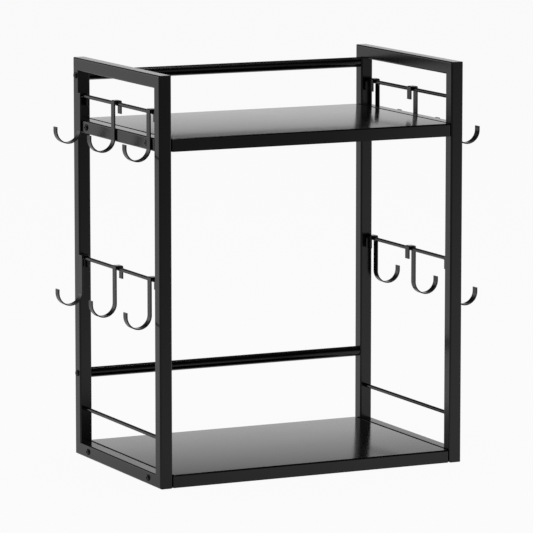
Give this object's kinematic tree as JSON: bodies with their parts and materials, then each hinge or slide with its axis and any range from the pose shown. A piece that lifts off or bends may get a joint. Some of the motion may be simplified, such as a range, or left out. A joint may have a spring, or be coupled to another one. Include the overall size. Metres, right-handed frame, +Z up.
{
  "type": "coffee station organizer",
  "caption": "Free-standing black steel rack with two sheet shelves between square-tube side frames, round back rails and loose strip hooks hung on rods at both sides for mugs.",
  "frame": {"origin": "centre of the footprint, on the surface that the bottom rails stand on", "axes": "+X to the organizer's right seen from the front, +Y to the back, +Z up"},
  "size_m": [0.4746, 0.259, 0.4968],
  "materials": {
    "frame_coat": "satin black powder coat",
    "shelf_coat": "satin black powder coat",
    "rail_coat": "satin black powder coat",
    "hook_coat": "satin black powder coat",
    "screw_black": "black oxide",
    "zinc": "bright zinc plate"
  },
  "bodies": {
    "frame": {"left_front_post": "frame_coat", "left_back_post": "frame_coat", "left_top_rail": "frame_coat", "left_mid_rail": "frame_coat", "left_bottom_rail": "frame_coat", "left_upper_hook_rod": "frame_coat", "left_middle_hook_rod": "frame_coat", "left_guard_rod": "frame_coat", "right_front_post": "frame_coat", "right_back_post": "frame_coat", "right_top_rail": "frame_coat", "right_mid_rail": "frame_coat", "right_bottom_rail": "frame_coat", "right_upper_hook_rod": "frame_coat", "right_middle_hook_rod": "frame_coat", "right_guard_rod": "frame_coat", "upper_shelf": "shelf_coat", "lower_shelf": "shelf_coat", "upper_back_rail": "rail_coat", "lower_back_rail": "rail_coat", "shelf_screws": "screw_black", "shelf_rivet_nuts": "zinc", "back_rail_screws": "screw_black", "back_rail_plugs": "zinc"},
    "hook_left_upper_back": {"hook_left_upper_back": "hook_coat"},
    "hook_left_upper_centre": {"hook_left_upper_centre": "hook_coat"},
    "hook_left_upper_front": {"hook_left_upper_front": "hook_coat"},
    "hook_left_middle_back": {"hook_left_middle_back": "hook_coat"},
    "hook_left_middle_centre": {"hook_left_middle_centre": "hook_coat"},
    "hook_left_middle_front": {"hook_left_middle_front": "hook_coat"},
    "hook_right_upper_back": {"hook_right_upper_back": "hook_coat"},
    "hook_right_upper_centre": {"hook_right_upper_centre": "hook_coat"},
    "hook_right_upper_front": {"hook_right_upper_front": "hook_coat"},
    "hook_right_middle_back": {"hook_right_middle_back": "hook_coat"},
    "hook_right_middle_centre": {"hook_right_middle_centre": "hook_coat"},
    "hook_right_middle_front": {"hook_right_middle_front": "hook_coat"}
  },
  "joints": [
    {"name": "hook_left_upper_back_slide", "type": "slide", "parent": "frame", "child": "hook_left_upper_back", "axis": [0, 1, 0], "range_m": [-0.009, 0]},
    {"name": "hook_left_upper_centre_slide", "type": "slide", "parent": "frame", "child": "hook_left_upper_centre", "axis": [0, 1, 0], "range_m": [-0.0863, 0.0774]},
    {"name": "hook_left_upper_front_slide", "type": "slide", "parent": "frame", "child": "hook_left_upper_front", "axis": [0, 1, 0], "range_m": [-0.0064, 0.0001]},
    {"name": "hook_left_middle_back_slide", "type": "slide", "parent": "frame", "child": "hook_left_middle_back", "axis": [0, 1, 0], "range_m": [-0.0465, 0.0028]},
    {"name": "hook_left_middle_centre_slide", "type": "slide", "parent": "frame", "child": "hook_left_middle_centre", "axis": [0, 1, 0], "range_m": [-0.0465, 0.0465]},
    {"name": "hook_left_middle_front_slide", "type": "slide", "parent": "frame", "child": "hook_left_middle_front", "axis": [0, 1, 0], "range_m": [-0.0056, 0.0465]},
    {"name": "hook_right_upper_back_slide", "type": "slide", "parent": "frame", "child": "hook_right_upper_back", "axis": [0, 1, 0], "range_m": [-0.0032, 0.0058]},
    {"name": "hook_right_upper_centre_slide", "type": "slide", "parent": "frame", "child": "hook_right_upper_centre", "axis": [0, 1, 0], "range_m": [-0.0815, 0.0822]},
    {"name": "hook_right_upper_front_slide", "type": "slide", "parent": "frame", "child": "hook_right_upper_front", "axis": [0, 1, 0], "range_m": [-0.0026, 0.0039]},
    {"name": "hook_right_middle_back_slide", "type": "slide", "parent": "frame", "child": "hook_right_middle_back", "axis": [0, 1, 0], "range_m": [-0.0465, 0.0028]},
    {"name": "hook_right_middle_centre_slide", "type": "slide", "parent": "frame", "child": "hook_right_middle_centre", "axis": [0, 1, 0], "range_m": [-0.0465, 0.0465]},
    {"name": "hook_right_middle_front_slide", "type": "slide", "parent": "frame", "child": "hook_right_middle_front", "axis": [0, 1, 0], "range_m": [-0.0056, 0.0465]}
  ]
}
